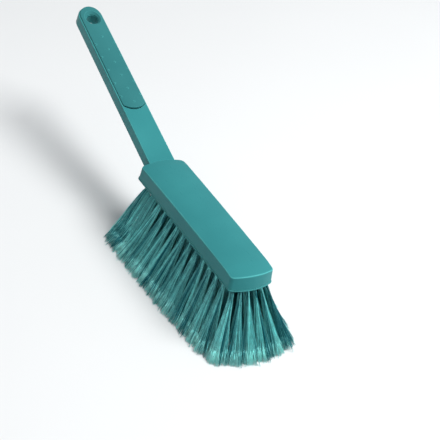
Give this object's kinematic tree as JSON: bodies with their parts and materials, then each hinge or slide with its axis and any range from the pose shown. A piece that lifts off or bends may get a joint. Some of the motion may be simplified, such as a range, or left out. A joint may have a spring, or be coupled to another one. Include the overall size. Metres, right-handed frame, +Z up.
{
  "type": "hand broom",
  "caption": "Hand broom: a crowned plastic block and raised handle in one moulding, a nubbed grip pad with a hanging hole, and flared bristle tufts stapled into inclined holes.",
  "frame": {"origin": "under the middle of the whole broom, on the plane where the bristle tips are trimmed flat", "axes": "+X along the block towards the nose, away from the handle; +Y across the block; +Z up, bristles pointing down"},
  "size_m": [0.3592, 0.0992, 0.1214],
  "materials": {
    "body_plastic": "satin moulded polypropylene",
    "grip_rubber": "matt soft overmoulding",
    "bristle_plastic": "drawn plastic filament",
    "staple_steel": "bare wire"
  },
  "bodies": {
    "root": {"brush_body": "body_plastic", "grip_pad": "grip_rubber", "inner_tufts_01": "bristle_plastic", "inner_tufts_02": "bristle_plastic", "inner_tufts_03": "bristle_plastic", "inner_tufts_04": "bristle_plastic", "inner_tufts_05": "bristle_plastic", "inner_tufts_06": "bristle_plastic", "inner_tufts_07": "bristle_plastic", "inner_tufts_08": "bristle_plastic", "inner_tufts_09": "bristle_plastic", "inner_tufts_10": "bristle_plastic", "inner_tufts_11": "bristle_plastic", "inner_tufts_12": "bristle_plastic", "inner_tufts_13": "bristle_plastic", "tuft_left_01": "bristle_plastic", "tuft_left_02": "bristle_plastic", "tuft_left_03": "bristle_plastic", "tuft_left_04": "bristle_plastic", "tuft_left_05": "bristle_plastic", "tuft_left_06": "bristle_plastic", "tuft_left_07": "bristle_plastic", "tuft_left_08": "bristle_plastic", "tuft_left_09": "bristle_plastic", "tuft_left_10": "bristle_plastic", "tuft_left_11": "bristle_plastic", "tuft_left_12": "bristle_plastic", "tuft_left_13": "bristle_plastic", "tuft_nose_1": "bristle_plastic", "tuft_nose_2": "bristle_plastic", "tuft_nose_3": "bristle_plastic", "tuft_nose_4": "bristle_plastic", "tuft_nose_5": "bristle_plastic", "tuft_nose_6": "bristle_plastic", "tuft_right_01": "bristle_plastic", "tuft_right_02": "bristle_plastic", "tuft_right_03": "bristle_plastic", "tuft_right_04": "bristle_plastic", "tuft_right_05": "bristle_plastic", "tuft_right_06": "bristle_plastic", "tuft_right_07": "bristle_plastic", "tuft_right_08": "bristle_plastic", "tuft_right_09": "bristle_plastic", "tuft_right_10": "bristle_plastic", "tuft_right_11": "bristle_plastic", "tuft_right_12": "bristle_plastic", "tuft_right_13": "bristle_plastic", "tuft_staples": "staple_steel"}
  },
  "joints": []
}
